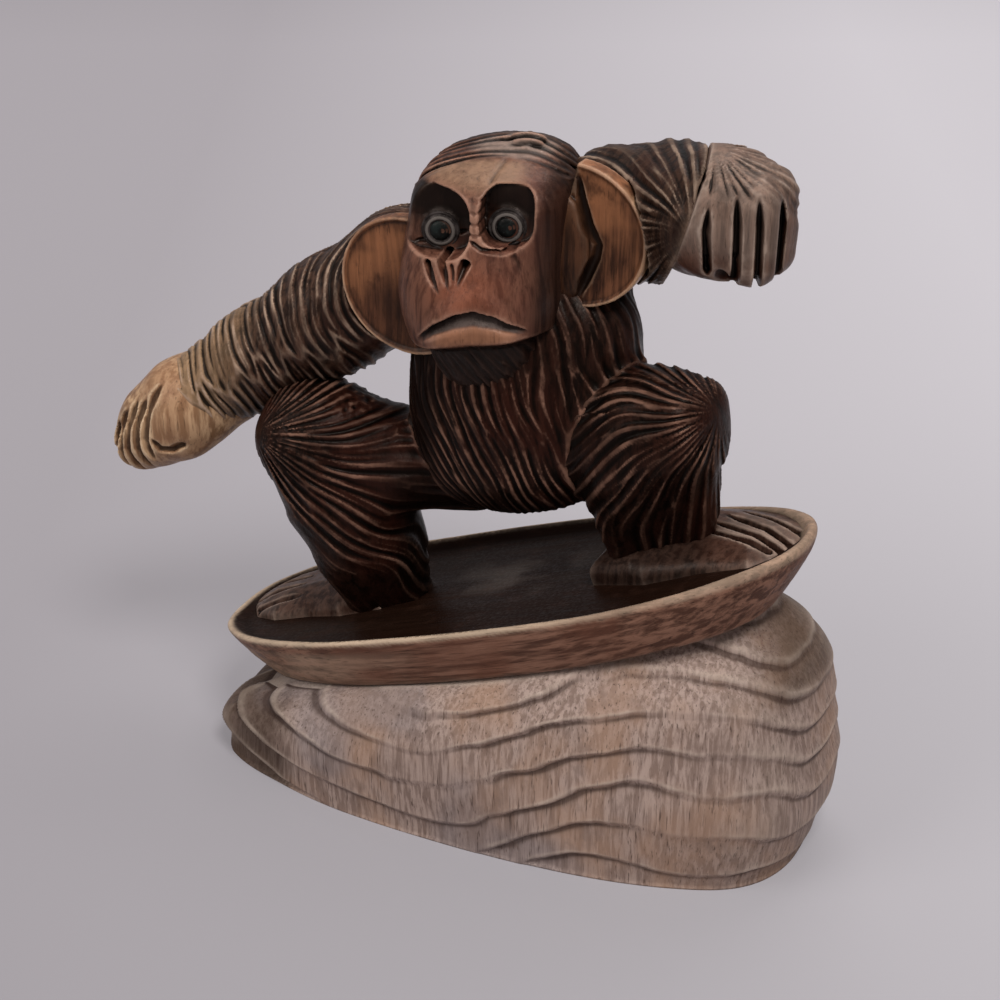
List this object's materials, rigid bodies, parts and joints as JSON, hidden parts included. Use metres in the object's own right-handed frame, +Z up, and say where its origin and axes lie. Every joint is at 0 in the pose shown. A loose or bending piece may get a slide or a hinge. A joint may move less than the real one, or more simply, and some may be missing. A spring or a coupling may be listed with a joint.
{
  "type": "monkey figurine",
  "caption": "Carved wooden ape crouching on a tilted surfboard, arms spread for balance, on a solid wood block carved as a rippled wave.",
  "frame": {"origin": "on the flat underside of the wave block, near its middle", "axes": "+Z up; +X along the block towards the raised nose of the board, which is the figure's left; -Y the side that the figure faces"},
  "size_m": [0.2485, 0.0956, 0.2323],
  "materials": {
    "wave_wood": "weathered grey-brown hardwood with open upright grain, gouged ripples, thin worn stain",
    "board_wood": "dark brown stain on top, worn pale along the rim, mid-brown sides with level grain, satin",
    "peg_wood": "plain unfinished dowel, hidden",
    "body_wood": "almost black brown stain over gouged grooves, reddish on the worn ridges, satin",
    "foot_wood": "dark brown stain, worn along the toes, satin",
    "pale_wood": "stain worn back to pale tan wood, dark in the grooves, satin",
    "hand_wood": "brown stain worn tan on the knuckles, dark in the grooves, satin",
    "face_wood": "smooth reddish brown stain with upright grain, satin",
    "ear_wood": "brown stain worn tan, upright grain, pale rubbed rim, satin",
    "eye_inlay": "lacquered dark disc with a thin grey ring",
    "pupil_inlay": "lacquered dark green-grey plug"
  },
  "bodies": {
    "root": {"wave_base": "wave_wood", "surfboard": "board_wood", "board_pegs": "peg_wood", "leg_pegs": "peg_wood", "trunk": "body_wood", "right_leg": "body_wood", "left_leg": "body_wood", "right_arm": "body_wood", "left_arm": "body_wood", "right_foot": "foot_wood", "left_foot": "foot_wood", "right_hand": "pale_wood", "left_hand": "hand_wood", "head": "face_wood", "right_ear": "ear_wood", "left_ear": "ear_wood", "right_eye": "eye_inlay", "left_eye": "eye_inlay", "right_pupil": "pupil_inlay", "left_pupil": "pupil_inlay"}
  },
  "joints": []
}
